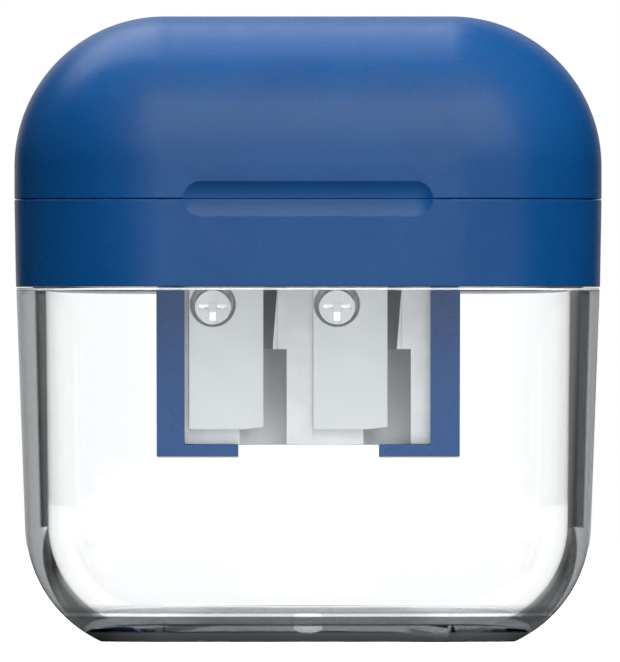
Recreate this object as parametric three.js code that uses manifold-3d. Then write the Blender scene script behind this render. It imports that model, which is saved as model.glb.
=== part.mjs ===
// Two-hole pencil sharpener with a clear shavings container and a flip lid.
// Millimetres, +Z up. The front faces -Y, and the origin is the middle of the flat base.

import * as THREE from "three";
import { mergeVertices } from "three/addons/utils/BufferGeometryUtils.js";
import Module from "manifold-3d";

const wasm = await Module();
wasm.setup();

const DEGREE = Math.PI / 180;
const GAP = 0.3; // between two pieces that touch on the real object
const SNUG = 0.08; // between a screw or pin and the piece that grips it

// The case is a stadium in plan: a straight core along X with round ends.
// Its outline is a profile of (radius, height) carried round the core.
const CORE = 14.35; // half of the straight run
const ROUND_STEPS = 56; // facets round a full turn of the case
const ARC_STEPS = 12; // facets along one arc of a profile
const SMALL_STEPS = 32; // facets round the hinge, the tip channels and the finger grooves

// Container
const BASE_ARC = { radius: 13, r: 0.95, z: 11.82 }; // the round bottom, cut flat at z = 0
const SHELL_DRAFT = 2.1 * DEGREE;
const SHOULDER_Z = 35.15;
const NECK_R = 13.05;
const NECK_TOP = 40.5;
const CAVITY_RADIUS = 10.7; // inner bottom arc, on the same centre as the outer one
const CAVITY_FLOOR = 2.7;
const CAVITY_DRAFT = 0.65 * DEGREE;

// Collar
const COLLAR_BOTTOM = SHOULDER_Z + GAP;
const COLLAR_TOP = 44.1;
const COLLAR_LOW_R = 14.86;
const CASE_R = 15.01; // half the depth of the lid and of the collar's top
const LEDGE_BOTTOM = NECK_TOP + GAP;
const LEDGE_TOP = 42;
const LEDGE_R = 11.2;
const COLLAR_BORE_R = 12.9;

// Lid: upright skirt, then a round roof whose radius is the same as the case's
const SEAM_Z = 44.2;
const LID_BOTTOM = 44.3;
const ROOF_Z = 47.5;
const LID_WALL = 1.8;
const SCOOP = { halfLength: 12.5, halfHeight: 1.81, depth: 0.45 };

// Hinge at the back of the seam: two collar knuckles with the lid's knuckle between them
const HINGE_Y = 15.6;
const KNUCKLE_R = 1.6;
const LID_KNUCKLE_X = 7;
const HINGE_END_X = 13.3;
const PIN_R = 0.6;

// Sharpener block: the pencils stand upright, and the front face leans with their cones
const PENCIL_Y = -0.5;
const CONE_TIP_Z = 20.7;
const CONE_ANGLE = 12 * DEGREE; // half of the pencil point's angle
const FACE_SINK = 0.12; // the face lies this far inside the cones, so the blades meet the wood
const HOLES = [
  { side: "left", x: -4.5, boreR: 4.95 },
  { side: "right", x: 7.9, boreR: 4.1 },
];
const BLOCK = { left: -12.75, right: 12.65, bottom: 19.82, top: 46, back: 6.5 };
const CHANNEL_HALF = 2.36; // straight channel round the pencil's tip
const CHANNEL_TOP = 29.33;
const WINDOW = { under: 0.5, low: 0.95, high: 2.1, top: 43.5 }; // slit beside each cutting edge
const SIDE_GROOVE = { radius: 1, count: 4, depth: 0.3 };

// Blades and screws, placed from each hole's axis and along the leaning face
const BLADE = { width: 7.41, thickness: 0.7, low: 0.69, high: 25.5, nick: 0.3, seatGap: 0.05 };
const GRIND = { width: 1.3, land: 0.08 }; // bevel behind the cutting edge, and the edge's thickness
const SCREW = {
  fromEdge: 5, along: 13.47, shankR: 1.1, length: 5.5, headR: 1.86, headTop: 1.2, steps: 40,
};
const COUNTERSINK = { low: 1.5, high: 2.27, rise: 0.14 }; // rise: how far it sits above its screw
const CROSS = { reach: 1.43, width: 0.74, depth: 0.5 };

// Carrier: a raised deck with two pencil holes, and the cage that hangs from it
const DECK = { r: 12.6, bottom: 46.3, top: 47.9, edge: 0.8 };
const DECK_HOLE_CLEARANCE = 0.4;
const DECK_HOLE_FLARE = 0.9;
const RAIL = { left: -15.15, right: 15.2, lip: 0.42, bottom: 18.55, front: 1.3, back: 7.8 };
const FOOT = { left: -6.97, right: 7.1, top: 19.6 };

const FACE_TAN = Math.tan(CONE_ANGLE);
const FACE_COS = Math.cos(CONE_ANGLE);

// ---------------------------------------------------------------- solids

function solid(geometry) {
  const bare = new THREE.BufferGeometry();
  bare.setAttribute("position", geometry.getAttribute("position"));
  bare.setIndex(geometry.getIndex());
  const merged = mergeVertices(bare, 1e-4);
  const corners = merged.getIndex().array;
  const kept = [];
  for (let i = 0; i < corners.length; i += 3) {
    const [a, b, c] = corners.slice(i, i + 3);
    if (a !== b && b !== c && c !== a) kept.push(a, b, c);
  }
  return new wasm.Manifold(new wasm.Mesh({
    numProp: 3,
    vertProperties: new Float32Array(merged.getAttribute("position").array),
    triVerts: new Uint32Array(kept),
  }));
}

function joined(solids) {
  return solids.reduce((sum, next) => sum.add(next));
}

function cut(body, cutters) {
  return cutters.reduce((rest, cutter) => rest.subtract(cutter), body);
}

function box(low, high) {
  const size = high.map((value, i) => value - low[i]);
  const middle = high.map((value, i) => (value + low[i]) / 2);
  return solid(new THREE.BoxGeometry(...size).translate(...middle));
}

// Turns a profile of [radius, height] points round an upright axis at (x, y).
function turned(points, x, y, steps) {
  const profile = points.map(([r, z]) => new THREE.Vector2(r, z));
  const geometry = new THREE.LatheGeometry(profile, steps).rotateX(90 * DEGREE);
  return solid(geometry.translate(x, y, 0));
}

// Carries an outline of [y, z] points along X.
function prism(outline, fromX, toX) {
  const shape = new THREE.Shape(outline.map(([y, z]) => new THREE.Vector2(y, z)));
  const options = { depth: toX - fromX, bevelEnabled: false };
  const geometry = new THREE.ExtrudeGeometry(shape, options);
  const turn = new THREE.Matrix4().makeBasis(
    new THREE.Vector3(0, 1, 0),
    new THREE.Vector3(0, 0, 1),
    new THREE.Vector3(1, 0, 0),
  );
  return solid(geometry.applyMatrix4(turn).translate(fromX, 0, 0));
}

// Carries a closed profile round the core. It starts and ends on the axis, lowest point first.
function stadium(profile) {
  const ends = [-CORE, CORE].map((x) => turned(profile, x, 0, ROUND_STEPS));
  const offAxis = profile.filter(([r]) => r > 0);
  const mirrored = [...offAxis].reverse().map(([r, z]) => [-r, z]);
  return joined([...ends, prism([...offAxis, ...mirrored], -CORE, CORE)]);
}

function arc({ radius, r, z }, from, to) {
  const points = [];
  for (let i = 0; i <= ARC_STEPS; i += 1) {
    const angle = from + ((to - from) * i) / ARC_STEPS;
    points.push([r + radius * Math.cos(angle), z + radius * Math.sin(angle)]);
  }
  return points;
}

// ---------------------------------------------------------------- case

// A round bottom cut flat at height floor, then a drafted wall up to height top.
function vesselWall(bottom, floor, draft, top) {
  const wall = arc(bottom, Math.asin((floor - bottom.z) / bottom.radius), -draft);
  const [r, z] = wall[wall.length - 1];
  return [...wall, [r + (top - z) * Math.tan(draft), top]];
}

function container() {
  const shell = stadium([
    [0, 0],
    ...vesselWall(BASE_ARC, 0, SHELL_DRAFT, SHOULDER_Z),
    [NECK_R, SHOULDER_Z],
    [NECK_R, NECK_TOP],
    [0, NECK_TOP],
  ]);
  const inside = { ...BASE_ARC, radius: CAVITY_RADIUS };
  const mouth = vesselWall(inside, CAVITY_FLOOR, CAVITY_DRAFT, SHOULDER_Z);
  const mouthR = mouth[mouth.length - 1][0];
  const cavity = stadium([
    [0, CAVITY_FLOOR],
    ...mouth,
    [mouthR, NECK_TOP + 1],
    [0, NECK_TOP + 1],
  ]);
  return shell.subtract(cavity);
}

// The thumb scoop lies half in the collar and half in the lid, in the middle of the front.
function scoop() {
  const { halfLength, halfHeight, depth } = SCOOP;
  const radius = (halfHeight ** 2 + depth ** 2) / (2 * depth);
  const straight = 2 * (halfLength - halfHeight);
  const geometry = new THREE.CapsuleGeometry(radius, straight, ARC_STEPS, ROUND_STEPS);
  return solid(geometry.rotateZ(90 * DEGREE).translate(0, depth - radius - CASE_R, SEAM_Z));
}

function hingeRod(radius, fromX, toX) {
  const geometry = new THREE.CylinderGeometry(radius, radius, toX - fromX, SMALL_STEPS);
  return solid(geometry.rotateZ(90 * DEGREE).translate((fromX + toX) / 2, HINGE_Y, SEAM_Z));
}

// Runs make once for each collar knuckle, with the ends of its stretch along X.
function eachCollarKnuckle(make) {
  const near = LID_KNUCKLE_X + GAP;
  return [make(-HINGE_END_X, -near), make(near, HINGE_END_X)];
}

function collar() {
  const outside = stadium([
    [0, COLLAR_BOTTOM],
    [COLLAR_LOW_R, COLLAR_BOTTOM],
    [CASE_R, COLLAR_TOP],
    [0, COLLAR_TOP],
  ]);
  const inside = stadium([
    [0, COLLAR_BOTTOM - 1],
    [NECK_R + GAP, COLLAR_BOTTOM - 1],
    [NECK_R + GAP, LEDGE_BOTTOM],
    [LEDGE_R, LEDGE_BOTTOM],
    [LEDGE_R, LEDGE_TOP],
    [COLLAR_BORE_R, LEDGE_TOP],
    [COLLAR_BORE_R, COLLAR_TOP + 1],
    [0, COLLAR_TOP + 1],
  ]);
  const notch = hingeRod(KNUCKLE_R + GAP, -LID_KNUCKLE_X - GAP, LID_KNUCKLE_X + GAP);
  const ring = cut(outside, [inside, scoop(), notch]);
  const knuckles = eachCollarKnuckle((from, to) => hingeRod(KNUCKLE_R, from, to));
  const bore = hingeRod(PIN_R + SNUG, -HINGE_END_X - 1, HINGE_END_X + 1);
  return cut(joined([ring, ...knuckles]), [bore]);
}

function roof(radius, bottom) {
  return [
    [0, bottom],
    [radius, bottom],
    ...arc({ radius, r: 0, z: ROOF_Z }, 0, 90 * DEGREE).slice(0, -1),
    [0, ROOF_Z + radius],
  ];
}

function lid() {
  const dome = stadium(roof(CASE_R, LID_BOTTOM));
  const hollow = stadium(roof(CASE_R - LID_WALL, LID_BOTTOM - 1));
  const notches = eachCollarKnuckle((from, to) => hingeRod(KNUCKLE_R + GAP, from - GAP, to + GAP));
  const shell = cut(dome, [hollow, scoop(), ...notches]);
  const knuckle = hingeRod(KNUCKLE_R, -LID_KNUCKLE_X, LID_KNUCKLE_X);
  const bore = hingeRod(PIN_R + SNUG, -HINGE_END_X, HINGE_END_X);
  return cut(shell.add(knuckle), [bore]);
}

function hingePin() {
  return hingeRod(PIN_R, -HINGE_END_X + GAP, HINGE_END_X - GAP);
}

// ---------------------------------------------------------------- sharpener

// Y of the leaning front face at height z, moved out from the face by offset.
function faceY(z, offset) {
  return PENCIL_Y - (z - CONE_TIP_Z) * FACE_TAN - (offset - FACE_SINK) / FACE_COS;
}

function wedge(bottom, top, frontOffset, back) {
  return [
    [faceY(bottom, frontOffset), bottom],
    [back, bottom],
    [back, top],
    [faceY(top, frontOffset), top],
  ];
}

// Places a geometry made in the face's own axes: X, up along the face, and out of it.
function onFace(geometry) {
  const frame = new THREE.Matrix4().makeBasis(
    new THREE.Vector3(1, 0, 0),
    new THREE.Vector3(0, -Math.sin(CONE_ANGLE), FACE_COS),
    new THREE.Vector3(0, -FACE_COS, -Math.sin(CONE_ANGLE)),
  );
  frame.setPosition(0, faceY(CONE_TIP_Z, 0), CONE_TIP_Z);
  return solid(geometry.applyMatrix4(frame));
}

// A round profile of [radius, height above the face], at (x, along) on the face.
function turnedOnFace(points, x, along, steps) {
  const profile = points.map(([r, height]) => new THREE.Vector2(r, height));
  const geometry = new THREE.LatheGeometry(profile, steps).rotateX(90 * DEGREE);
  return onFace(geometry.translate(x, along, 0));
}

function pencilHole({ x, boreR }) {
  const coneTop = CONE_TIP_Z + boreR / FACE_TAN;
  return turned(
    [[0, CONE_TIP_Z], [boreR, coneTop], [boreR, BLOCK.top + 1], [0, BLOCK.top + 1]],
    x,
    PENCIL_Y,
    ROUND_STEPS,
  );
}

function tipChannel({ x }) {
  const low = BLOCK.bottom - 1;
  const half = CHANNEL_HALF;
  const profile = [[0, low], [half, low], [half, CHANNEL_TOP], [0, CHANNEL_TOP]];
  const round = turned(profile, x, PENCIL_Y, SMALL_STEPS);
  const front = faceY(CHANNEL_TOP, 2);
  return round.add(box([x - half, front, low], [x + half, PENCIL_Y, CHANNEL_TOP]));
}

// The slit widens upwards from the cutting edge, which lies over the pencil's axis.
function shavingWindow({ x }) {
  const { under, low, high, top } = WINDOW;
  const bottom = CHANNEL_TOP - 0.5;
  const shape = new THREE.Shape([
    new THREE.Vector2(x - under, bottom),
    new THREE.Vector2(x + low, bottom),
    new THREE.Vector2(x + high, top),
    new THREE.Vector2(x - under, top),
  ]);
  const back = PENCIL_Y - 0.2;
  const depth = back - faceY(top, 1);
  const geometry = new THREE.ExtrudeGeometry(shape, { depth, bevelEnabled: false });
  return solid(geometry.rotateX(90 * DEGREE).translate(0, back, 0));
}

function screwX({ x }) {
  return x - SCREW.fromEdge;
}

function screwBore(hole) {
  const radius = SCREW.shankR + SNUG;
  const depth = SCREW.length + GAP;
  const profile = [[0, -depth], [radius, -depth], [radius, 1], [0, 1]];
  return turnedOnFace(profile, screwX(hole), SCREW.along, SCREW.steps);
}

// Upright finger grooves in the block's two sides.
function sideGrooves() {
  const { radius, count, depth } = SIDE_GROOVE;
  const pitch = (BLOCK.back - PENCIL_Y) / count;
  const out = radius - depth;
  const grooves = [];
  for (const sideX of [BLOCK.left - out, BLOCK.right + out]) {
    for (let i = 0; i < count; i += 1) {
      const y = PENCIL_Y + (i + 0.5) * pitch;
      const low = BLOCK.bottom - 1;
      const high = BLOCK.top + 1;
      grooves.push(turned([[0, low], [radius, low], [radius, high], [0, high]], sideX, y, SMALL_STEPS));
    }
  }
  return grooves;
}

function sharpenerBlock() {
  const body = prism(wedge(BLOCK.bottom, BLOCK.top, 0, BLOCK.back), BLOCK.left, BLOCK.right);
  return cut(body, [
    ...HOLES.map(pencilHole),
    ...HOLES.map(tipChannel),
    ...HOLES.map(shavingWindow),
    ...HOLES.map(screwBore),
    ...sideGrooves(),
  ]);
}

// The blade's right edge cuts. Its lower corner there is ground back a little.
function blade(hole) {
  const { width, thickness, low, high, nick, seatGap } = BLADE;
  const edge = hole.x + 0.04;
  const shape = new THREE.Shape([
    new THREE.Vector2(edge - width, low),
    new THREE.Vector2(edge - width / 3, low),
    new THREE.Vector2(edge, low + nick),
    new THREE.Vector2(edge, high),
    new THREE.Vector2(edge - width, high),
  ]);
  const geometry = new THREE.ExtrudeGeometry(shape, { depth: thickness, bevelEnabled: false });
  const plate = onFace(geometry.translate(0, 0, seatGap));
  const top = seatGap + thickness;
  const fall = (thickness - GRIND.land) / GRIND.width;
  const grind = new THREE.Shape([
    new THREE.Vector2(edge - GRIND.width - 1, top + fall),
    new THREE.Vector2(edge + 1, top - fall * (GRIND.width + 1)),
    new THREE.Vector2(edge + 1, top + fall),
  ]);
  const length = high - low + 2;
  const bevel = new THREE.ExtrudeGeometry(grind, { depth: length, bevelEnabled: false });
  bevel.rotateX(90 * DEGREE).translate(0, high + 1, 0);
  const flare = (COUNTERSINK.high - COUNTERSINK.low) / thickness;
  const cone = [
    [0, seatGap - 0.5],
    [COUNTERSINK.low - flare / 2, seatGap - 0.5],
    [COUNTERSINK.high + flare / 2, top + 0.5],
    [0, top + 0.5],
  ];
  const sink = turnedOnFace(cone, screwX(hole), SCREW.along + COUNTERSINK.rise, SCREW.steps);
  return cut(plate, [onFace(bevel), sink]);
}

// A countersunk screw with a cross recess.
function bladeScrew(hole) {
  const { shankR, length, headR, headTop, along } = SCREW;
  const x = screwX(hole);
  const profile = [
    [0, -length],
    [shankR - 0.3, -length],
    [shankR, 0.6 - length],
    [shankR, 0.05],
    [headR, 0.8],
    [headR, headTop - 0.15],
    [headR - 0.15, headTop],
    [0, headTop],
  ];
  const body = turnedOnFace(profile, x, along, SCREW.steps);
  const { reach, width, depth } = CROSS;
  const slots = [[2 * reach, width], [width, 2 * reach]].map(([wide, tall]) => {
    const geometry = new THREE.BoxGeometry(wide, tall, 2 * depth);
    return onFace(geometry.translate(x, along, headTop));
  });
  return cut(body, slots);
}

// ---------------------------------------------------------------- carrier

function deckHole({ x, boreR }) {
  const radius = boreR + DECK_HOLE_CLEARANCE;
  const flareZ = DECK.top - DECK_HOLE_FLARE;
  return turned(
    [
      [0, DECK.bottom - 1],
      [radius, DECK.bottom - 1],
      [radius, flareZ],
      [radius + DECK_HOLE_FLARE + 1, DECK.top + 1],
      [0, DECK.top + 1],
    ],
    x,
    PENCIL_Y,
    ROUND_STEPS,
  );
}

function cage() {
  const high = DECK.bottom + 0.5;
  const railOutline = wedge(RAIL.bottom, high, RAIL.front, RAIL.back);
  const footOutline = wedge(RAIL.bottom, FOOT.top, RAIL.front, RAIL.back);
  const bars = joined([
    prism(railOutline, RAIL.left, BLOCK.left + RAIL.lip),
    prism(railOutline, BLOCK.right - RAIL.lip, RAIL.right),
    prism(footOutline, RAIL.left, FOOT.left),
    prism(footOutline, FOOT.right, RAIL.right),
  ]);
  const room = prism(
    wedge(FOOT.top, DECK.bottom, GAP, BLOCK.back + GAP),
    BLOCK.left - GAP,
    BLOCK.right + GAP,
  );
  return bars.subtract(room);
}

function carrier() {
  const { r, bottom, top, edge } = DECK;
  const foot = LEDGE_TOP + GAP;
  const rim = arc({ radius: edge, r: r - edge, z: top - edge }, 0, 90 * DEGREE);
  const hat = stadium([[0, foot], [r, foot], ...rim, [0, top]]);
  const under = stadium([[0, foot - 1], [LEDGE_R, foot - 1], [LEDGE_R, bottom], [0, bottom]]);
  const body = joined([hat.subtract(under), cage()]);
  return cut(body, HOLES.map(deckHole));
}

// ---------------------------------------------------------------- scene

function clearPlastic() {
  return new THREE.MeshStandardMaterial({
    color: 0xe9eef1, roughness: 0.05, metalness: 0, transparent: true, opacity: 0.3,
  });
}

function bluePlastic() {
  return new THREE.MeshStandardMaterial({ color: 0x2f578a, roughness: 0.42, metalness: 0 });
}

function castAlloy() {
  return new THREE.MeshStandardMaterial({ color: 0xb9bdc0, roughness: 0.5, metalness: 1 });
}

function bladeSteel() {
  return new THREE.MeshStandardMaterial({ color: 0xcfd4d6, roughness: 0.28, metalness: 1 });
}

function platedSteel() {
  return new THREE.MeshStandardMaterial({ color: 0xc9cdd0, roughness: 0.3, metalness: 1 });
}

const sharpener = new THREE.Group();

function add(name, body, material) {
  const { numProp, vertProperties, triVerts } = body.getMesh();
  const geometry = new THREE.BufferGeometry();
  geometry.setAttribute("position", new THREE.BufferAttribute(vertProperties, numProp));
  geometry.setIndex(new THREE.BufferAttribute(triVerts, 1));
  geometry.computeVertexNormals();
  const mesh = new THREE.Mesh(geometry, material);
  mesh.name = name;
  sharpener.add(mesh);
}

add("container", container(), clearPlastic());
add("collar", collar(), bluePlastic());
add("carrier", carrier(), bluePlastic());
add("lid", lid(), bluePlastic());
add("hinge_pin", hingePin(), platedSteel());
add("sharpener_block", sharpenerBlock(), castAlloy());
for (const hole of HOLES) {
  add(`blade_${hole.side}`, blade(hole), bladeSteel());
  add(`blade_screw_${hole.side}`, bladeScrew(hole), platedSteel());
}

export default sharpener;
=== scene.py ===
"""Looks of a two-hole pencil sharpener: a blue flip lid and collar over a clear shavings container,
with a metal sharpener block in a blue cage inside. Sizes below are in millimetres, in the CAD's frame."""

import math

import bmesh
import bpy
from mathutils import Matrix, Vector


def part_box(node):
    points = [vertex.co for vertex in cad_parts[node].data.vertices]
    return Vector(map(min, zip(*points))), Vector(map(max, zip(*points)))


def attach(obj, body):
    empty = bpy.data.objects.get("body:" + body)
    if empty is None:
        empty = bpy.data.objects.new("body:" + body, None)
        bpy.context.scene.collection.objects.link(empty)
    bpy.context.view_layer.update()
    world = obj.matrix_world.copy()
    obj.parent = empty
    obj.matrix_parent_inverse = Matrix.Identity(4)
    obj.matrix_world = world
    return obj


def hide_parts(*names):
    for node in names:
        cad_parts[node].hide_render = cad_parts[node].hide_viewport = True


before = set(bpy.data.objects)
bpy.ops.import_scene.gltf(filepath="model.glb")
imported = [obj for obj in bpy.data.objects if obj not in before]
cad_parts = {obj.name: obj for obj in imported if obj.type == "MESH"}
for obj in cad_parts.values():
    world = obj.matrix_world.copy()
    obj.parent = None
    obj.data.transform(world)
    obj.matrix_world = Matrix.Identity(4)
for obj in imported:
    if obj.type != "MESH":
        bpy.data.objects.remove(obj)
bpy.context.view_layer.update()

MM = 0.001
WELD = 0.001  # points nearer than this are merged
HAIR = 0.01  # keeps the faces of neighbouring cutters apart
GAP = 0.3  # between pieces that slide or turn past each other


def box_mm(node):
    """Lowest and highest corner of a CAD node, in millimetres."""
    low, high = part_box(node)
    return low / MM, high / MM


# Case: a stadium in plan, whose half depth is a profile over height
LID_LOW, LID_HIGH = box_mm("lid")
COLLAR_LOW, _ = box_mm("collar")
_, BIN_HIGH = box_mm("container")
CASE_R = -LID_LOW.y
CORE = LID_HIGH.x - CASE_R  # half of the straight run between the round ends
END_STEPS = 72  # facets round one end of the case
SEAM_Z, SEAM_HALF = 44.2, 0.02  # the seam between collar and lid, and half its width
BASE_ARC_R, BASE_ARC_CENTRE = 13, (0.95, 11.82)
BASE_RING_R = 3  # an extra ring of points on the flat base and on the cavity's floor
CAVITY_ARC_R, CAVITY_FLOOR = 10.7, 2.7
SHELL_DRAFT, CAVITY_DRAFT = math.radians(2.1), math.radians(0.65)
GATE_R, GATE_DOWN = 1.45, 2.4  # dimple in the base, cut by a sphere centred this far under it
SHOULDER_Z, SHOULDER_EASE = COLLAR_LOW.z - 0.08, 0.22
NECK_R = 13.05
BEAD_DOWN, BEAD_HALF, BEAD_OUT = 2.2, 0.5, 0.14  # the neck's grip bead, from the rim
COLLAR_LOW_R, COLLAR_BORE_R = 14.86, 12.9
LEDGE_BOTTOM, LEDGE_TOP, LEDGE_R = 40.8, 42, 11.2
ROOF_Z, LID_WALL = LID_HIGH.z - CASE_R, 1.8
SCOOP_HALF_LENGTH, SCOOP_HALF_HEIGHT, SCOOP_DEPTH = 12.5, 1.81, 0.45

# Hinge
HINGE_Y = 15.6
KNUCKLE_R, KNUCKLE_EASE = 1.599, 0.25
NOTCH_R = 1.9
LID_KNUCKLE_X, HINGE_END_X = 7, 13.3
PIN_R, PIN_INSET = 0.6, 0.15
COLLAR_PIN_PLAY, LID_PIN_PLAY = 0.03, 0.08

# Sharpener block, with its leaning front face
PENCIL_Y = -0.5
FACE_Z = 20.7  # where the seat's plane meets the pencils' axes, and the tip of the cones
FACE_ANGLE = math.radians(12)
FACE_SINK = 0.12
HOLES = {"left": (-4.5, 4.95), "right": (7.9, 4.1)}  # axis X and bore radius
HOLE_CHAMFER = 0.7
BLOCK_LEFT, BLOCK_RIGHT, BLOCK_BACK = -12.75, 12.65, 6.5
BLOCK_BOTTOM, BLOCK_TOP = 19.92, 46
LAND = 0.24  # how far the lands between the blades stand over their seats
SEAT_RIGHT = 1.46  # the seat runs this far past the pencil's axis
SEAT_SIDE_GAP, SEAT_END_GAP = 0.012, 0.15
FLUTE_COUNT, FLUTE_PITCH, FLUTE_R, FLUTE_DEPTH = 4, 1.12, 0.42, 0.14
FLUTE_FIRST, FLUTE_LOW, FLUTE_HIGH = -6.9, 1, 26
CHANNEL_HALF, CHANNEL_TOP = 2.36, 29.43
WINDOW_LOW, WINDOW_HIGH, WINDOW_TOP = 0.92, 2.05, 43.5
GROOVE_COUNT, GROOVE_R, GROOVE_DEPTH = 4, 1, 0.3

# Blades and screws
BLADE_WIDTH, BLADE_THICKNESS = 7.41, 0.7
BLADE_LOW, BLADE_HIGH = 0.89, 25.5  # along the leaning face
BLADE_GAP = 0.05  # between the blade and its seat
EDGE_PAST_AXIS = 0.04  # the cutting edge lies this far right of the pencil's axis
GRIND_WIDTH, GRIND_LAND = 1.95, 0.1
BLADE_NICK = 0.12
SCREW_FROM_AXIS, SCREW_ALONG = 5, 13.47
SINK_RISE = 0.14  # the blade's countersink sits this far above its screw
SINK_LOW_R, SINK_HIGH_R = 2.02, 2.3
SCREW_HEAD_R, SCREW_HEAD_TOP, SCREW_CONE_TOP = 1.86, 1.2, 0.8
SCREW_SHANK_R, SCREW_LENGTH, SCREW_HOLE_R = 1.1, 5.5, 1.2
THREAD_TURNS, THREAD_DEPTH = 10, 0.16
RECESS_REACH, RECESS_WIDTH = 1.43, 0.74
RECESS_MIDDLE = 0.22  # half of the side arms' width

# Carrier
DECK_R, DECK_BOTTOM, DECK_TOP = 12.6, 46.3, 47.9
DECK_HOLE_GAP, DECK_HOLE_FLARE = 0.4, 0.9
RAIL_LEFT, RAIL_RIGHT, RAIL_LIP, RAIL_BOTTOM = -15.12, 15.17, 0.42, 18.7
RAIL_FRONT, RAIL_BACK = 1.3, 7.8
FOOT_LEFT, FOOT_RIGHT, FOOT_TOP = -6.97, 7.1, 19.86
ROOM_FRONT, ROOM_SIDE = 0.15, 0.2  # play round the block

# Clear plastic. Painted shade in its edges and thick base is strongest at 1, and its heights are over the
# desk
EDGE_SHADE = (0.42, 0.52)  # the facing weight over which the painted shade of the edges sets in
# Painted shade in the thick base: under the cavity's floor, in a band over it, and lighter by the gate mark
# and at the foot
SLAB_SHADE_TOP = CAVITY_FLOOR - 0.15
CORNER_SHADE, CORNER_SHADE_LOW, CORNER_SHADE_HIGH = 0.85, CAVITY_FLOOR + 0.2, CAVITY_FLOOR + 1.3
GATE_SHADE, GATE_SHADE_TOP = 0.93, 1.6
FOOT_SHADE, FOOT_SHADE_TOP = 0.8, 0.95
SCUFF, SCUFF_LOW, SCUFF_HIGH = 0.8, 0.85, 1.1
SHOULDER_FROST = 0.6
MIRROR_PASS_Z = 14  # above this, what the pieces inside mirror passes through the clear wall
# The clear tint, and the colours of the painted shade at the edges and in the base
CLEAR_COLOUR, EDGE_SHADE_COLOUR, BASE_SHADE_COLOUR = (0.985, 0.992, 0.995), (0.12, 0.13, 0.137), (0.032, 0.035, 0.038)

# Painted shade in the recesses round the pencils: how far behind the leaning face it starts, and how far
# round an axis
RECESS_SHADE_DEPTH, RECESS_SHADE_R = 0.3, 5.2
RECESS_SHADE_COLOUR = (0.61, 0.62, 0.63)

# ---------------------------------------------------------------- camera and studio

LENS = 1500
VIEW_HEIGHT = 66.2  # what the picture's height spans at the object
VIEW_X, VIEW_Z = 0.2, 31.05

# Softboxes that glossy surfaces mirror, by direction from the object, in degrees: level, azimuth
# span and softness, elevation span and softness. Azimuth 0 is the front, 90 the right, 180 the back.
FRONT_SPAN, BACK_SPAN = (-22, 58, 8), (155, 205, 10)
STUDIO = [
    (0.5, FRONT_SPAN, (-90, 16, 6)),
    (1.1, (-22, 54, 8), (16, 56, 6)),
    (2.1, (-205, -112, 12), (38, 100, 10)),
    (1.9, (177, 205, 6), (42, 100, 14)),
    (0.5, (-205, -155, 10), (-90, 36, 6)),
    (0.35, BACK_SPAN, (-90, 36, 6)),
    (1.4, (-6, 6, 2), (-5, 9, 2)),
]
# Soft fill for matt surfaces from the front and the back: azimuth and elevation, and strength
FRONT_FILL, FRONT_FILL_LEVEL = (15.08, 49.38), 6.4
BACK_FILL, BACK_FILL_LEVEL = (190, 34), 3.6
FILL_FALL = 4.37
# Bright backdrop behind clear walls, in degrees either side of straight back, and dark surroundings
BACKDROP = 1.22
BACKDROP_LEFT, BACKDROP_RIGHT = 39, 20
BACKDROP_LOW, BACKDROP_HIGH = -34, 14
BACKDROP_SOFT = 3
SURROUND_LEFT, SURROUND_RIGHT = 0.05, 0.17
WALL_FACES = 3.5  # light from the cavity has crossed more faces of clear plastic than this
# What gloss picks up from the floor, by distance from the object's middle
FLOOR_NEAR, FLOOR_MIDDLE, FLOOR_FAR = 45, 110, 320
FLOOR_NEAR_LEVEL, FLOOR_MIDDLE_LEVEL, FLOOR_FAR_LEVEL = 0.2, 0.35, 0.6
FLOOR_BEHIND_LEVEL = 0.45
# What clear walls pick up from it: a painted shadow under the object, then the backdrop, in degrees as above
FLOOR_SHADOW = 0.4
FLOOR_LEFT, FLOOR_RIGHT = 54, 44
FLOOR_CLEAR_FROM, FLOOR_CLEAR_TO = 30, 45
FLOOR_CAVITY_FROM, FLOOR_CAVITY_TO = 10, 14
# What it gives to the matt and glossy pieces inside the container
INSIDE_FILL, INSIDE_GLOSS = 1.2, 0.85
FLOOR_WHITE, FLOOR_GLOW = 0.7, 0.5
FLOOR_HALF, FLOOR_DROP = 1200, 0.05


def camera():
    """Level with the middle of the object and far away, so that the view is almost parallel."""
    data = bpy.data.cameras.new("camera")
    data.lens = LENS
    data.clip_end = 20
    distance_back = VIEW_HEIGHT * MM * data.lens / data.sensor_width
    made = bpy.data.objects.new("camera", data)
    made.location = (VIEW_X * MM, -distance_back, VIEW_Z * MM)
    made.rotation_euler = (math.radians(90), 0, 0)
    bpy.context.scene.collection.objects.link(made)
    bpy.context.scene.camera = made


def node(tree, kind, inputs=None, **settings):
    """Adds a node. An input is a value, or a socket to link from."""
    made = tree.nodes.new(kind)
    for name, value in settings.items():
        setattr(made, name, value)
    for name, value in (inputs or {}).items():
        if isinstance(value, bpy.types.NodeSocket):
            tree.links.new(value, made.inputs[name])
        else:
            made.inputs[name].default_value = value
    return made


def maths(tree, operation, first, second=0.0):
    """One step of arithmetic on values or sockets."""
    return node(tree, "ShaderNodeMath", {0: first, 1: second}, operation=operation).outputs[0]


def above(tree, value, limit):
    """1 where the value is over the limit, and 0 elsewhere."""
    return maths(tree, "GREATER_THAN", value, limit)


def opposite(tree, value):
    return maths(tree, "SUBTRACT", 1.0, value)


def ramp(tree, value, start, end, low=0.0, high=1.0):
    """A smooth step from low at start to high at end."""
    inputs = {"Value": value, "From Min": start, "From Max": end, "To Min": low, "To Max": high}
    return node(tree, "ShaderNodeMapRange", inputs, interpolation_type="SMOOTHSTEP").outputs[0]


def mix_value(tree, factor, first, second):
    """first where the factor is 0, second where it is 1."""
    return node(tree, "ShaderNodeMix", {0: factor, 2: first, 3: second}).outputs[0]


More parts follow.
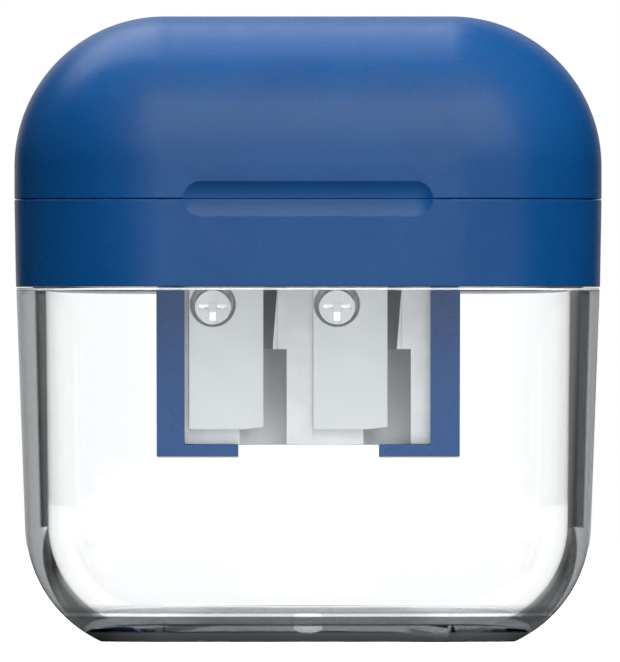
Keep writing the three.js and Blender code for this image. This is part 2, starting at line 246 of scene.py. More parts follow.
def tint(tree, factor, first, second):
    """The first colour where the factor is 0, the second where it is 1. A colour can be a socket."""
    inputs = {0: factor}
    for place, colour in ((6, first), (7, second)):
        inputs[place] = colour if isinstance(colour, bpy.types.NodeSocket) else (*colour, 1)
    return node(tree, "ShaderNodeMix", inputs, data_type="RGBA").outputs[2]


def mix_shader(tree, factor, first, second):
    """The first shader node where the factor is 0, the second where it is 1."""
    return node(tree, "ShaderNodeMixShader", {0: factor, 1: first.outputs[0], 2: second.outputs[0]})


def matt(tree, colour):
    return node(tree, "ShaderNodeBsdfDiffuse", {"Color": (*colour, 1)})


def band(tree, value, start, end, soft):
    """1 from start to end and 0 outside, with soft ends."""
    rise = ramp(tree, value, start - soft, start + soft)
    fall = ramp(tree, value, end - soft, end + soft, 1.0, 0.0)
    return maths(tree, "MULTIPLY", rise, fall)


def place_mm(tree):
    """X, Y and Z in the object's own frame, in millimetres."""
    place = node(tree, "ShaderNodeTexCoord").outputs["Object"]
    scaled = node(tree, "ShaderNodeVectorMath", {0: place, "Scale": 1 / MM}, operation="SCALE")
    return node(tree, "ShaderNodeSeparateXYZ", {"Vector": scaled.outputs[0]}).outputs


def distance(tree, x, y, z=0.0):
    vector = node(tree, "ShaderNodeCombineXYZ", {"X": x, "Y": y, "Z": z}).outputs[0]
    return node(tree, "ShaderNodeVectorMath", {0: vector}, operation="LENGTH").outputs["Value"]


def unit(azimuth, elevation):
    """The direction at an azimuth and elevation in degrees."""
    azimuth, elevation = math.radians(azimuth), math.radians(elevation)
    level = math.cos(elevation)
    return math.sin(azimuth) * level, -math.cos(azimuth) * level, math.sin(elevation)


def azimuth_of(tree, x, y):
    """Degrees round from the front, positive to the right."""
    towards_front = maths(tree, "MULTIPLY", y, -1.0)
    return maths(tree, "MULTIPLY", maths(tree, "ARCTAN2", x, towards_front), math.degrees(1))


def backdrop_window(tree, x, y, left, right):
    """1 towards the backdrop and 0 past so many degrees to the left and right of straight back."""
    turn = maths(tree, "MULTIPLY", maths(tree, "ARCTAN2", x, y), math.degrees(1))
    return band(tree, turn, -left, right, BACKDROP_SOFT)


def surround(tree, x):
    """The dark level round the backdrop, by side."""
    return mix_value(tree, above(tree, x, 0.0), SURROUND_LEFT, SURROUND_RIGHT)


def soft_lamp(tree, direction, middle, level):
    """Light that falls off evenly round its middle, which is an azimuth and an elevation."""
    inputs = {0: direction, 1: unit(*middle)}
    facing = node(tree, "ShaderNodeVectorMath", inputs, operation="DOT_PRODUCT").outputs["Value"]
    near = maths(tree, "MAXIMUM", facing, 0.0)
    return maths(tree, "MULTIPLY", maths(tree, "POWER", near, FILL_FALL), level)


def from_cavity(tree, path):
    """1 for light that clear walls pass on from the container's cavity, and 0 for other light."""
    return above(tree, path.outputs["Transmission Depth"], WALL_FACES)


def by_ray(tree, path, mirrored, through, fill):
    """What a ray finds: mirrored for gloss, through for clear walls, fill for matt surfaces."""
    bounced = mix_value(tree, path.outputs["Is Transmission Ray"], mirrored, through)
    return mix_value(tree, path.outputs["Is Diffuse Ray"], bounced, fill)


def studio_light():
    """Softboxes for gloss, a bright backdrop in dark surroundings for clear walls, and soft fill."""
    world = bpy.data.worlds.new("studio")
    bpy.context.scene.world = world
    bpy.context.scene.view_settings.view_transform = "Standard"
    world.use_nodes = True
    world.cycles.sampling_method = "NONE"
    tree = world.node_tree
    tree.nodes.clear()
    direction = node(tree, "ShaderNodeTexCoord").outputs["Generated"]
    x, y, z = node(tree, "ShaderNodeSeparateXYZ", {"Vector": direction}).outputs
    azimuth = azimuth_of(tree, x, y)
    elevation = maths(tree, "MULTIPLY", maths(tree, "ARCSINE", z), math.degrees(1))

    mirrored = 0.0
    for level, across, upright in STUDIO:
        zone = maths(tree, "MULTIPLY", band(tree, azimuth, *across), band(tree, elevation, *upright))
        mirrored = maths(tree, "ADD", mirrored, maths(tree, "MULTIPLY", zone, level))

    path = node(tree, "ShaderNodeLightPath")
    window = backdrop_window(tree, x, y, BACKDROP_LEFT, BACKDROP_RIGHT)
    height = band(tree, elevation, BACKDROP_LOW, BACKDROP_HIGH, BACKDROP_SOFT)
    window = maths(tree, "MAXIMUM", maths(tree, "MULTIPLY", window, height), from_cavity(tree, path))
    through = mix_value(tree, window, surround(tree, x), BACKDROP)

    front = soft_lamp(tree, direction, FRONT_FILL, FRONT_FILL_LEVEL)
    back = soft_lamp(tree, direction, BACK_FILL, BACK_FILL_LEVEL)
    lit = by_ray(tree, path, mirrored, through, maths(tree, "ADD", front, back))
    seen = mix_value(tree, path.outputs["Is Camera Ray"], lit, 1.0)
    studio = node(tree, "ShaderNodeBackground", {"Color": (1, 1, 1, 1), "Strength": seen})
    output = node(tree, "ShaderNodeOutputWorld")
    tree.links.new(studio.outputs[0], output.inputs["Surface"])


def pale_floor():
    """A white floor. What gloss and clear walls pick up from it continues the studio round it."""
    material, tree, output = new_material("floor")
    material.cycles.emission_sampling = "NONE"
    x, y, z = place_mm(tree)
    azimuth = azimuth_of(tree, x, y)
    away = distance(tree, x, y, z)
    path = node(tree, "ShaderNodeLightPath")

    near = ramp(tree, away, FLOOR_NEAR, FLOOR_MIDDLE, FLOOR_NEAR_LEVEL, FLOOR_MIDDLE_LEVEL)
    far = ramp(tree, away, FLOOR_MIDDLE, FLOOR_FAR, 0.0, FLOOR_FAR_LEVEL - FLOOR_MIDDLE_LEVEL)
    front = maths(tree, "MULTIPLY", band(tree, azimuth, *FRONT_SPAN), maths(tree, "ADD", near, far))
    back = band(tree, maths(tree, "ABSOLUTE", azimuth), *BACK_SPAN)
    mirrored = maths(tree, "ADD", front, maths(tree, "MULTIPLY", back, FLOOR_BEHIND_LEVEL))

    cavity = from_cavity(tree, path)
    window = maths(tree, "MAXIMUM", backdrop_window(tree, x, y, FLOOR_LEFT, FLOOR_RIGHT), cavity)
    clear = maths(tree, "MULTIPLY", ramp(tree, away, FLOOR_CAVITY_FROM, FLOOR_CAVITY_TO), cavity)
    clear = maths(tree, "MAXIMUM", ramp(tree, away, FLOOR_CLEAR_FROM, FLOOR_CLEAR_TO), clear)
    # A painted shadow under the object, for what the clear walls pick up
    through = mix_value(tree, clear, FLOOR_SHADOW, mix_value(tree, window, surround(tree, x), BACKDROP))

    inside = above(tree, path.outputs["Transparent Depth"], 0.5)  # the ray left the container's wall
    mirrored = mix_value(tree, inside, mirrored, INSIDE_GLOSS)
    fill = maths(tree, "MULTIPLY", inside, INSIDE_FILL)
    bounced = by_ray(tree, path, mirrored, through, fill)
    picked_up = node(tree, "ShaderNodeEmission", {"Color": (1, 1, 1, 1), "Strength": bounced})
    glow = node(tree, "ShaderNodeEmission", {"Color": (1, 1, 1, 1), "Strength": FLOOR_GLOW})
    paint = matt(tree, (FLOOR_WHITE, FLOOR_WHITE, FLOOR_WHITE))
    plain = node(tree, "ShaderNodeAddShader", {0: paint.outputs[0], 1: glow.outputs[0]})
    mix = mix_shader(tree, path.outputs["Is Camera Ray"], picked_up, plain)
    tree.links.new(mix.outputs[0], output.inputs["Surface"])

    half, low = FLOOR_HALF * MM, -FLOOR_DROP * MM
    corners = [(-half, -half, low), (half, -half, low), (half, half, low), (-half, half, low)]
    mesh = bpy.data.meshes.new("floor")
    mesh.from_pydata(corners, [], [(0, 1, 2, 3)])
    mesh.materials.append(material)
    floor = bpy.data.objects.new("floor", mesh)
    bpy.context.scene.collection.objects.link(floor)


# ---------------------------------------------------------------- materials


def new_material(name):
    material = bpy.data.materials.new(name)
    material.use_nodes = True
    tree = material.node_tree
    tree.nodes.clear()
    return material, tree, node(tree, "ShaderNodeOutputMaterial")


def noise(tree, scale, detail, stretch=(1, 1, 1)):
    """Noise in the object's own space. scale is in cycles per millimetre."""
    place = node(tree, "ShaderNodeTexCoord").outputs["Object"]
    factor = [scale / MM * part for part in stretch]
    scaled = node(tree, "ShaderNodeVectorMath", {0: place, 1: factor}, operation="MULTIPLY")
    inputs = {"Vector": scaled.outputs[0], "Scale": 1.0, "Detail": detail, "Roughness": 0.5}
    return node(tree, "ShaderNodeTexNoise", inputs).outputs["Fac"]


def bump(tree, height, depth, strength):
    """Bump of that depth in millimetres."""
    inputs = {"Height": height, "Distance": depth * MM, "Strength": strength}
    return node(tree, "ShaderNodeBump", inputs).outputs["Normal"]


def blue_plastic():
    material, tree, output = new_material("blue_plastic")
    cloud = ramp(tree, noise(tree, 0.09, 3), 0.3, 0.7)
    colour = tint(tree, cloud, (0.0022, 0.055, 0.193), (0.0028, 0.061, 0.208))
    rough = ramp(tree, noise(tree, 0.5, 4), 0.3, 0.7, 0.26, 0.31)
    grain = bump(tree, noise(tree, 5, 2), 0.02, 0.1)
    inputs = {
        "Base Color": colour,
        "Roughness": rough,
        "IOR": 1.45,
        "Normal": grain,
    }
    surface = node(tree, "ShaderNodeBsdfPrincipled", inputs)
    tree.links.new(surface.outputs[0], output.inputs["Surface"])
    return material


def gate_mark(tree):
    """1 on the rough dimple that moulding leaves in the middle of the base, 0 elsewhere."""
    return ramp(tree, distance(tree, *place_mm(tree)), GATE_R - 0.02, GATE_R, 1.0, 0.0)


def painted_base_shade(tree):
    """Painted shade where light enters the thick base, with a clear line level with the cavity's floor."""
    x, _, z = place_mm(tree)
    corner = ramp(tree, z, CORNER_SHADE_LOW + 0.1, CORNER_SHADE_HIGH, CORNER_SHADE, 0.0)
    corner = maths(tree, "MULTIPLY", corner, above(tree, z, CORNER_SHADE_LOW))
    slab = ramp(tree, z, SLAB_SHADE_TOP, SLAB_SHADE_TOP + 0.1, 1.0, 0.0)
    beside_gate = above(tree, maths(tree, "ABSOLUTE", x), GATE_R)
    beside_gate = maths(tree, "MAXIMUM", beside_gate, above(tree, z, GATE_SHADE_TOP))
    depth = mix_value(tree, beside_gate, GATE_SHADE, 1.0)
    depth = mix_value(tree, above(tree, z, FOOT_SHADE_TOP), FOOT_SHADE, depth)
    shade = maths(tree, "MAXIMUM", corner, maths(tree, "MULTIPLY", slab, depth))
    leaving = node(tree, "ShaderNodeNewGeometry").outputs["Backfacing"]
    return maths(tree, "MULTIPLY", shade, opposite(tree, leaving))


def scuffed_foot(tree):
    """Scuffing of the lowest part of the wall, but not of the flat base."""
    normal = node(tree, "ShaderNodeNewGeometry").outputs["Normal"]
    upright = node(tree, "ShaderNodeSeparateXYZ", {"Vector": normal}).outputs["Z"]
    side = ramp(tree, maths(tree, "ABSOLUTE", upright), 0.93, 0.97, 1.0, 0.0)
    scuff = ramp(tree, place_mm(tree)["Z"], SCUFF_LOW, SCUFF_HIGH, SCUFF, 0.0)
    return maths(tree, "MULTIPLY", scuff, side)


def shoulder_edge(tree):
    """Frosting of the rounded edge under the collar."""
    z = place_mm(tree)["Z"]
    low = ramp(tree, z, SHOULDER_Z - SHOULDER_EASE - 0.02, SHOULDER_Z - SHOULDER_EASE + 0.04)
    high = ramp(tree, z, SHOULDER_Z - 0.04, SHOULDER_Z - 0.02, 1.0, 0.0)
    return maths(tree, "MULTIPLY", maths(tree, "MULTIPLY", low, high), SHOULDER_FROST)


def goes_straight(tree):
    """1 for light that the clear plastic doesn't bend: what falls on other pieces, and what the
    pieces inside mirror. The thick base bends that too."""
    path = node(tree, "ShaderNodeLightPath")
    falling = maths(tree, "MAXIMUM", path.outputs["Is Shadow Ray"], path.outputs["Is Diffuse Ray"])
    bent = path.outputs["Is Transmission Ray"]
    mirrored = maths(tree, "SUBTRACT", path.outputs["Is Glossy Ray"], bent)
    leaving = node(tree, "ShaderNodeNewGeometry").outputs["Backfacing"]
    passed = above(tree, path.outputs["Transparent Depth"], 0.5)
    outside = maths(tree, "MAXIMUM", opposite(tree, leaving), passed)
    over_base = above(tree, place_mm(tree)["Z"], MIRROR_PASS_Z)
    mirrored = maths(tree, "MULTIPLY", mirrored, maths(tree, "MULTIPLY", outside, over_base))
    return maths(tree, "MAXIMUM", falling, mirrored)


def clear_plastic():
    """Clear moulded polystyrene: painted shade in its edges and base, a frosted gate mark and shoulder, and
    a scuffed foot."""
    material, tree, output = new_material("clear_plastic")
    smear = ramp(tree, noise(tree, 0.25, 3), 0.35, 0.75, 0.0, 0.02)
    ripple = bump(tree, noise(tree, 0.07, 1), 0.02, 0.05)
    outer = node(tree, "ShaderNodeAttribute", attribute_name="outer_wall").outputs["Fac"]
    facing = node(tree, "ShaderNodeLayerWeight", {"Blend": 0.5}).outputs["Facing"]
    # Painted shade on the outer wall: darker at grazing angles, and in the thick base
    edge = maths(tree, "MULTIPLY", ramp(tree, facing, *EDGE_SHADE), outer)
    base = maths(tree, "MULTIPLY", painted_base_shade(tree), outer)
    inputs = {
        "Base Color": tint(tree, base, tint(tree, edge, CLEAR_COLOUR, EDGE_SHADE_COLOUR), BASE_SHADE_COLOUR),
        "Roughness": smear,
        "IOR": 1.59,
        "Transmission Weight": 1.0,
        "Normal": ripple,
    }
    glass = node(tree, "ShaderNodeBsdfPrincipled", inputs)
    glass = mix_shader(tree, gate_mark(tree), glass, matt(tree, (0.95, 0.96, 0.965)))
    glass = mix_shader(tree, scuffed_foot(tree), glass, matt(tree, (0.9, 0.905, 0.915)))
    glass = mix_shader(tree, shoulder_edge(tree), glass, matt(tree, (0.8, 0.81, 0.82)))
    clear = node(tree, "ShaderNodeBsdfTransparent", {"Color": (0.95, 0.96, 0.965, 1)})
    mix = mix_shader(tree, goes_straight(tree), glass, clear)
    tree.links.new(mix.outputs[0], output.inputs["Surface"])
    return material


def recess_shade(tree):
    """1 in the recesses round the pencils' axes, behind the block's leaning face, where shade is painted."""
    x, y, z = place_mm(tree)
    behind = maths(tree, "SUBTRACT", y, PENCIL_Y)
    back = maths(tree, "MULTIPLY", behind, math.cos(FACE_ANGLE))
    lean = maths(tree, "MULTIPLY", maths(tree, "SUBTRACT", z, FACE_Z), math.sin(FACE_ANGLE))
    marks = ramp(tree, maths(tree, "ADD", lean, back), RECESS_SHADE_DEPTH, 2 * RECESS_SHADE_DEPTH)
    near = 0.0
    for hole_x, _ in HOLES.values():
        away = distance(tree, maths(tree, "SUBTRACT", x, hole_x), behind)
        near = maths(tree, "MAXIMUM", near, ramp(tree, away, RECESS_SHADE_R, RECESS_SHADE_R + 0.3, 1.0, 0.0))
    return maths(tree, "MULTIPLY", marks, near)


def metal(name, dark, light, metallic, rough, lines, line_depth, stretch, recess_shaded=False):
    """Bare metal with fine lines along the direction that stretch leaves long. It can be darkened by
    painted shade in the recesses round the pencils' axes."""
    material, tree, output = new_material(name)
    scratches = noise(tree, lines, 3, stretch)
    patches = noise(tree, 0.35, 3)
    colour = tint(tree, ramp(tree, patches, 0.3, 0.7), dark, light)
    # Painted shade: darker in the recesses round the pencils' axes
    if recess_shaded:
        colour = tint(tree, recess_shade(tree), colour, RECESS_SHADE_COLOUR)
    inputs = {
        "Base Color": colour,
        "Metallic": metallic,
        "Roughness": ramp(tree, scratches, 0.25, 0.75, rough - 0.03, rough + 0.04),
        "Normal": bump(tree, scratches, line_depth, 0.12),
    }
    surface = node(tree, "ShaderNodeBsdfPrincipled", inputs)
    tree.links.new(surface.outputs[0], output.inputs["Surface"])
    return material


def cast_alloy():
    return metal("cast_alloy", (0.74, 0.75, 0.76), (0.82, 0.83, 0.84), 0.35, 0.5, 4, 0.02, (1, 1, 0.06), True)


def blade_steel():
    return metal("blade_steel", (0.8, 0.82, 0.83), (0.83, 0.85, 0.86), 0.55, 0.42, 9, 0.003, (0.05, 1, 1))


def plated_steel():
    return metal("plated_steel", (0.8, 0.82, 0.83), (0.87, 0.89, 0.9), 0.7, 0.16, 3, 0.006, (1, 1, 1))


# ---------------------------------------------------------------- mesh tools


def arc(centre, radius, start, end, steps):
    """Points on an arc of a profile, with angles in radians."""
    points = []
    for i in range(steps + 1):
        angle = start + (end - start) * i / steps
        points.append((centre[0] + radius * math.cos(angle), centre[1] + radius * math.sin(angle)))
    return points


def rounded(corners, steps=6):
    """A profile whose corners, given as (r, z, radius), are rounded to that radius."""
    points = []
    for i, corner in enumerate(corners):
        here = Vector(corner[:2])
        radius = corner[2] if len(corner) > 2 else 0
        if not radius or i in (0, len(corners) - 1):
            points.append(tuple(here))
            continue
        before = (Vector(corners[i - 1][:2]) - here).normalized()
        after = (Vector(corners[i + 1][:2]) - here).normalized()
        half = before.angle(after) / 2
        reach = radius / math.tan(half)
        centre = here + (before + after).normalized() * radius / math.sin(half)
        start = here + before * reach - centre
        end = here + after * reach - centre
        sweep = start.angle_signed(end)
        for j in range(steps + 1):
            turn = Matrix.Rotation(-sweep * j / steps, 2)
            points.append(tuple(centre + turn @ start))
    return points


def plan(radius):
    """Points round a stadium, anticlockwise from the front right end."""
    points = []
    straight = [0.97, 0.6, 0.2, -0.2, -0.6, -0.97]
    for side in (1, -1):
        for i in range(END_STEPS + 1):
            angle = math.pi * (i / END_STEPS - 0.5)
            points.append((side * (CORE + radius * math.cos(angle)), side * radius * math.sin(angle)))
        points += [(side * CORE * share, side * radius) for share in straight]
    return points


def mesh_object(name, points, faces, matrix=None):
    """An object from points in millimetres, with doubled points merged and faces turned outwards."""
    mesh = bpy.data.meshes.new(name)
    mesh.from_pydata([Vector(p) for p in points], [], faces)
    work = bmesh.new()
    work.from_mesh(mesh)
    if matrix is not None:
        work.transform(matrix)
    bmesh.ops.remove_doubles(work, verts=work.verts, dist=WELD)
    bmesh.ops.recalc_face_normals(work, faces=work.faces)
    work.to_mesh(mesh)
    work.free()
    made = bpy.data.objects.new(name, mesh)
    bpy.context.scene.collection.objects.link(made)
    return made


def rings_to_faces(rings, size, closed=False):
    """Faces between neighbouring rings of points, and from the last ring to the first if closed."""
    faces = []
    for i in range(rings if closed else rings - 1):
        low, high = i * size, (i + 1) % rings * size
        for j in range(size):
            k = (j + 1) % size
            faces.append((low + j, low + k, high + k, high + j))
    return faces


def stadium(name, profile, closed=False):
    """Carries a profile of (radius, z) round the case's plan."""
    points = [(x, y, z) for radius, z in profile for x, y in plan(radius)]
    return mesh_object(name, points, rings_to_faces(len(profile), len(plan(1)), closed))


def turned(name, profile, matrix=None, steps=64):
    """Turns a profile of (radius, height) round Z, and places it by a matrix."""
    points = []
    for radius, height in profile:
        for i in range(steps):
            angle = math.tau * i / steps
            points.append((radius * math.cos(angle), radius * math.sin(angle), height))
    return mesh_object(name, points, rings_to_faces(len(profile), steps), matrix)


def prism(name, outline, start, end, axes="yz"):
    """Carries an outline along the third axis, from start to end."""
    order = {"yz": (2, 0, 1), "xz": (0, 2, 1), "xy": (0, 1, 2)}[axes]
    points = [[(*corner, level)[i] for i in order] for level in (start, end) for corner in outline]
    count = len(outline)
    faces = [tuple(range(count)), tuple(range(count, 2 * count))]
    for i in range(count):
        k = (i + 1) % count
        faces.append((i, k, count + k, count + i))
    return mesh_object(name, points, faces)


def at(x, y, z):
    return Matrix.Translation((x, y, z))


ALONG_X = Matrix.Rotation(math.radians(90), 4, "Y")


def face_frame():
    """The leaning face's own axes: X, up along the face, and out of it."""
    lean = Matrix.Rotation(math.radians(90) + FACE_ANGLE, 4, "X")
    return at(0, face_y(FACE_Z, 0), FACE_Z) @ lean


def face_y(z, offset):
    """Y of the leaning face at height z, moved out of the face by offset."""
    slope = math.tan(FACE_ANGLE)
    return PENCIL_Y - (z - FACE_Z) * slope - (offset - FACE_SINK) / math.cos(FACE_ANGLE)


def applied(piece):
    """Turns a piece's modifiers into its mesh."""
    graph = bpy.context.evaluated_depsgraph_get()
    mesh = bpy.data.meshes.new_from_object(piece.evaluated_get(graph))
    piece.modifiers.clear()
    piece.data = mesh


def boolean(piece, cutters, operation="DIFFERENCE"):
    """Cuts or joins other objects into a piece, and removes them."""
    for cutter in cutters:
        modifier = piece.modifiers.new("cut", "BOOLEAN")
        modifier.object = cutter
        modifier.operation = operation
        modifier.solver = "EXACT"
        applied(piece)
        bpy.data.objects.remove(cutter)
        tidy_mesh(piece)


def tidy_mesh(piece):
    """Merges points that a cut left nearly touching, and joins faces that lie in one plane."""
    work = bmesh.new()
    work.from_mesh(piece.data)
    bmesh.ops.remove_doubles(work, verts=work.verts, dist=WELD * 2)
    bmesh.ops.dissolve_degenerate(work, edges=work.edges, dist=WELD)
    flat = math.radians(0.02)
    bmesh.ops.dissolve_limit(work, angle_limit=flat, verts=work.verts, edges=work.edges)
    work.to_mesh(piece.data)
    work.free()


def soften(piece, width):
    """Rounds a piece's sharp edges by a small bevel, and shades it smooth."""
    for polygon in piece.data.polygons:
        polygon.use_smooth = True
    if width:
        modifier = piece.modifiers.new("bevel", "BEVEL")
        modifier.width = width
        modifier.segments = 2
        modifier.limit_method = "ANGLE"
        modifier.angle_limit = math.radians(30)
        modifier.use_clamp_overlap = False
        applied(piece)
        tidy_mesh(piece)
    piece.data.set_sharp_from_angle(angle=math.radians(50))
    weighted = piece.modifiers.new("normals", "WEIGHTED_NORMAL")
    weighted.keep_sharp = True
    applied(piece)


def finish_piece(piece, body, replaced, material):
    """Brings a piece to metres, gives it its material and its body, and hides the CAD node it replaces."""
    piece.data.transform(Matrix.Scale(MM, 4))
    piece.data.materials.clear()
    piece.data.materials.append(material)
    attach(piece, body)
    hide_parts(replaced)
    return piece


# ---------------------------------------------------------------- case pieces


def vessel_wall(radius, floor, draft, top):
    """Half section of a round-bottomed vessel: an arc from the flat, then a drafted wall."""
    start = math.asin((floor - BASE_ARC_CENTRE[1]) / radius)
    wall = arc(BASE_ARC_CENTRE, radius, start, -draft, 40)
    r, z = wall[-1]
    return wall + [(r + (top - z) * math.tan(draft), top)]


def container(material):
    outer = vessel_wall(BASE_ARC_R, 0, SHELL_DRAFT, SHOULDER_Z)
    inner = vessel_wall(CAVITY_ARC_R, CAVITY_FLOOR, CAVITY_DRAFT, BIN_HIGH.z)
    shoulder_r = outer[-1][0]
    mouth_r = inner[-1][0]
    bead_z = BIN_HIGH.z - BEAD_DOWN
    rim = rounded([
        outer[-2],
        (shoulder_r, SHOULDER_Z, SHOULDER_EASE),
        (NECK_R, SHOULDER_Z, 0.25),
        (NECK_R, bead_z - BEAD_HALF, 0.3),
        (NECK_R + BEAD_OUT, bead_z, 0.3),
        (NECK_R, bead_z + BEAD_HALF, 0.3),
        (NECK_R, BIN_HIGH.z, 0.3),
        (mouth_r, BIN_HIGH.z, 0.3),
        inner[-2],
    ])
    base = [(0, 0), (BASE_RING_R, 0)]
    floor = [(BASE_RING_R, CAVITY_FLOOR), (0, CAVITY_FLOOR)]
    piece = stadium("container_shell", [*base, *outer[:-2], *rim, *reversed(inner[:-2]), *floor])
    dimple = arc((0, -GATE_DOWN), math.hypot(GATE_R, GATE_DOWN), 0, math.radians(90), 24)
    boolean(piece, [turned("gate", dimple[::-1], steps=48)])
    soften(piece, 0)
    mark_outer_wall(piece)
    return finish_piece(piece, "bin", "container", material)


def mark_outer_wall(piece):
    """Stores 1 on the points of the outer wall and 0 on the cavity's, for the clear plastic."""
    marks = piece.data.attributes.new("outer_wall", "FLOAT", "POINT")
    between = (BASE_ARC_R + CAVITY_ARC_R) / 2
    for point, mark in zip(piece.data.vertices, marks.data):
        x, y, z = point.co
        r = math.hypot(max(abs(x) - CORE, 0), y) - BASE_ARC_CENTRE[0]
        low = min(z - BASE_ARC_CENTRE[1], 0)
        mark.value = math.hypot(max(r, 0), low) > between or z < CAVITY_FLOOR / 2


def scoop_cutter():
    """A capsule lying along X, half sunk in the middle of the front."""
    radius = (SCOOP_HALF_HEIGHT ** 2 + SCOOP_DEPTH ** 2) / (2 * SCOOP_DEPTH)
    straight = SCOOP_HALF_LENGTH - SCOOP_HALF_HEIGHT
    low = arc((0, -straight), radius, math.radians(-90), 0, 24)
    high = arc((0, straight), radius, 0, math.radians(90), 24)
    place = at(0, SCOOP_DEPTH - radius - CASE_R, SEAM_Z) @ ALONG_X
    return turned("scoop", low + high, place, steps=96)


def hinge_rod(name, radius, start, end, ease=0.0):
    """A rod along the hinge's axis, with its ends rounded by ease."""
    middle, half = (start + end) / 2, (end - start) / 2
    profile = rounded([(0, -half), (radius, -half, ease), (radius, half, ease), (0, half)], 4)
    return turned(name, profile, at(middle, HINGE_Y, SEAM_Z) @ ALONG_X, steps=64)


def collar(material):
    top = SEAM_Z - SEAM_HALF
    neck_room_r = NECK_R + GAP
    profile = rounded([
        (COLLAR_LOW_R - 0.3, COLLAR_LOW.z),
        (COLLAR_LOW_R, COLLAR_LOW.z, 0.12),
        (CASE_R, top, 0.14),
        (COLLAR_BORE_R, top, 0.2),
        (COLLAR_BORE_R, LEDGE_TOP, 0.2),
        (LEDGE_R, LEDGE_TOP, 0.2),
        (LEDGE_R, LEDGE_BOTTOM, 0.2),
        (neck_room_r, LEDGE_BOTTOM, 0.2),
        (neck_room_r, COLLAR_LOW.z),
    ])
    piece = stadium("collar_ring", profile, closed=True)
    near, far = LID_KNUCKLE_X + GAP, HINGE_END_X
    boolean(piece, [scoop_cutter(), hinge_rod("notch", NOTCH_R, -near, near)])
    spans = ((-far, -near), (near, far))
    boolean(piece, [hinge_rod("knuckle", KNUCKLE_R, *span, KNUCKLE_EASE) for span in spans], "UNION")
    boolean(piece, [hinge_rod("bore", PIN_R + COLLAR_PIN_PLAY, -far - 1, far + 1)])
    soften(piece, 0.05)
    return finish_piece(piece, "head", "collar", material)


def roof(radius, steps):
    """Half section of the lid's round top."""
    return arc((0, ROOF_Z), radius, 0, math.radians(90), steps)


def lid(material):
    bottom = SEAM_Z + SEAM_HALF
    inner_r = CASE_R - LID_WALL
    outer = roof(CASE_R, 48)
    inner = roof(inner_r, 40)
    rim = rounded([outer[0], (CASE_R, bottom, 0.14), (inner_r, bottom, 0.25), inner[0]])
    piece = stadium("lid_shell", [*reversed(outer), *rim[1:-1], *inner])
    near, far = LID_KNUCKLE_X, HINGE_END_X + GAP
    notches = [hinge_rod("notch", NOTCH_R, *span) for span in ((-far, -near), (near, far))]
    boolean(piece, [scoop_cutter(), *notches])
    boolean(piece, [hinge_rod("knuckle", KNUCKLE_R, -near, near, KNUCKLE_EASE)], "UNION")
    boolean(piece, [hinge_rod("bore", PIN_R + LID_PIN_PLAY, -HINGE_END_X, HINGE_END_X)])
    soften(piece, 0.05)
    return finish_piece(piece, "flip_lid", "lid", material)


def hinge_pin(material):
    half = HINGE_END_X - PIN_INSET
    piece = hinge_rod("pin", PIN_R, -half, half, 0.2)
    soften(piece, 0)
    return finish_piece(piece, "head", "hinge_pin", material)


# ---------------------------------------------------------------- carrier


def wedge(bottom, top, front, back):
    """Outline of a bar behind the leaning face, whose front stands out of it by front."""
    return [(face_y(bottom, front), bottom), (back, bottom), (back, top), (face_y(top, front), top)]


def carrier(material):
    deck = rounded([
        (0, DECK_TOP),
        (DECK_R, DECK_TOP, 0.8),
        (DECK_R, LEDGE_TOP + GAP, 0.2),
        (LEDGE_R, LEDGE_TOP + GAP, 0.2),
        (LEDGE_R, DECK_BOTTOM, 0.4),
        (0, DECK_BOTTOM),
    ])
    piece = stadium("carrier_cage", deck)
    rail = wedge(RAIL_BOTTOM, DECK_BOTTOM + 0.5, RAIL_FRONT, RAIL_BACK)
    foot = wedge(RAIL_BOTTOM, FOOT_TOP, RAIL_FRONT, RAIL_BACK)
    lip_left, lip_right = BLOCK_LEFT + RAIL_LIP, BLOCK_RIGHT - RAIL_LIP
    boolean(piece, [
        prism("rail", rail, RAIL_LEFT, lip_left),
        prism("rail", rail, lip_right, RAIL_RIGHT),
        prism("foot", foot, RAIL_LEFT + HAIR, FOOT_LEFT),
        prism("foot", foot, FOOT_RIGHT, RAIL_RIGHT - HAIR),
    ], "UNION")
    room = wedge(FOOT_TOP, DECK_BOTTOM + GAP, LAND + ROOM_FRONT, BLOCK_BACK + ROOM_SIDE)
    boolean(piece, [prism("room", room, BLOCK_LEFT - ROOM_SIDE, BLOCK_RIGHT + ROOM_SIDE)])
    boolean(piece, [deck_hole(x, r) for x, r in HOLES.values()])
    soften(piece, 0.06)
    return finish_piece(piece, "head", "carrier", material)


def deck_hole(x, bore_r):
    """A hole in the deck, a little wider than the bore under it and flared at its top."""
    radius = bore_r + DECK_HOLE_GAP
    mouth_r = radius + DECK_HOLE_FLARE
    profile = rounded([
        (0, DECK_BOTTOM - 1),
        (radius, DECK_BOTTOM - 1),
        (radius, DECK_TOP - DECK_HOLE_FLARE, 0.4),
        (mouth_r, DECK_TOP, 0.1),
        (mouth_r + 0.5, DECK_TOP + 0.5),
        (0, DECK_TOP + 0.5),
    ])
    return turned("hole", profile, at(x, PENCIL_Y, 0), steps=96)


# ---------------------------------------------------------------- sharpener block, blades, screws


def block(material):
    piece = prism("block", wedge(BLOCK_BOTTOM, BLOCK_TOP, LAND, BLOCK_BACK), BLOCK_LEFT, BLOCK_RIGHT)
    for x, bore_r in HOLES.values():
        boolean(piece, [seat_cutter(x), *flute_cutters(x), pencil_hole(x, bore_r), *channel_cutters(x)])
        boolean(piece, [window_cutter(x)])
        boolean(piece, [screw_hole(x)])
    boolean(piece, side_grooves())
    soften(piece, 0.06)
    return finish_piece(piece, "head", "sharpener_block", material)


def seat_cutter(x):
    """Clears the blade's seat and the strip beside its cutting edge, down to the seat's plane."""
    low, high, over = -1, BLADE_HIGH + SEAT_END_GAP, 3
    left = x + EDGE_PAST_AXIS - BLADE_WIDTH - SEAT_SIDE_GAP
    piece = prism("seat", [(low, 0), (high, 0), (high, over), (low, over)], left, x + SEAT_RIGHT)
    piece.data.transform(face_frame())
    return piece


